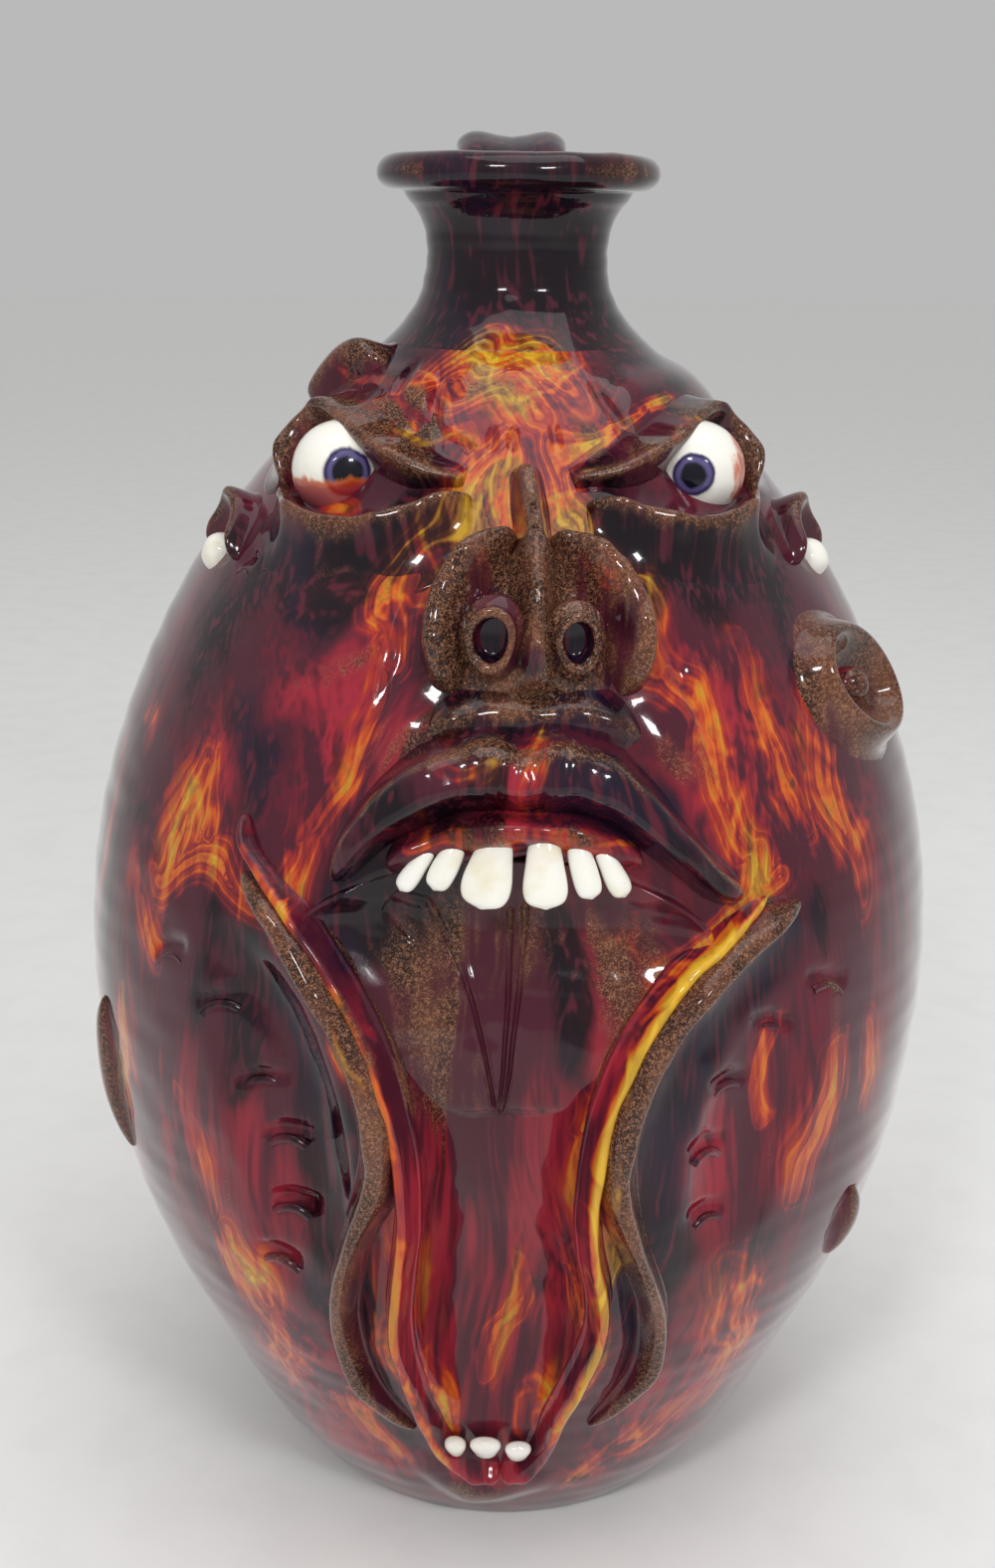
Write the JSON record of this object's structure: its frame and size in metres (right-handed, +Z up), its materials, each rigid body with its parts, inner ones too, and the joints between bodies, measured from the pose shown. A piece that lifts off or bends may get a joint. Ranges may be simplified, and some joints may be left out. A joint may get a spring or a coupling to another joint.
{
  "type": "face jug",
  "caption": "Tall glazed stoneware face jug with an open-mouthed grotesque face, flared neck, rolled lip and a strap handle at the back.",
  "frame": {"origin": "centre of the flat foot, on the surface that the jug stands on", "axes": "+Z up along the axis of the thrown body, through foot and lip; the face looks along -Y and the handle is on the +Y side, so +X is on the right of someone who looks at the face"},
  "size_m": [0.2422, 0.2482, 0.3838],
  "materials": {
    "dark_glaze": "gloss",
    "neck_glaze": "gloss",
    "brown_glaze": "gloss",
    "bright_glaze": "gloss",
    "red_glaze": "gloss",
    "white_glaze": "gloss"
  },
  "bodies": {
    "root": {"body": "dark_glaze", "neck": "neck_glaze", "handle": "neck_glaze", "upper_lip": "brown_glaze", "upper_gum": "red_glaze", "upper_tooth_1": "white_glaze", "upper_tooth_2": "white_glaze", "upper_tooth_3": "white_glaze", "upper_tooth_4": "white_glaze", "upper_tooth_5": "white_glaze", "upper_tooth_6": "white_glaze", "lower_tooth_1": "white_glaze", "lower_tooth_2": "white_glaze", "lower_tooth_3": "white_glaze", "tongue": "red_glaze", "left_cheek_fold": "brown_glaze", "right_cheek_fold": "brown_glaze", "left_mouth_rim": "bright_glaze", "right_mouth_rim": "bright_glaze", "left_eyeball": "white_glaze", "left_upper_lid": "brown_glaze", "left_lower_lid": "brown_glaze", "right_eyeball": "white_glaze", "right_upper_lid": "brown_glaze", "right_lower_lid": "brown_glaze", "nose": "brown_glaze", "left_nose_wing": "brown_glaze", "right_nose_wing": "brown_glaze", "left_nostril": "brown_glaze", "right_nostril": "brown_glaze", "under_nose_pad": "brown_glaze", "right_flank_ring": "brown_glaze", "right_flank_knob": "brown_glaze", "right_flank_lid": "brown_glaze", "right_flank_ball": "white_glaze", "left_flank_lid": "brown_glaze", "left_flank_ball": "white_glaze", "left_shoulder_lump": "brown_glaze", "left_low_lump": "brown_glaze", "right_low_lump": "brown_glaze"}
  },
  "joints": []
}
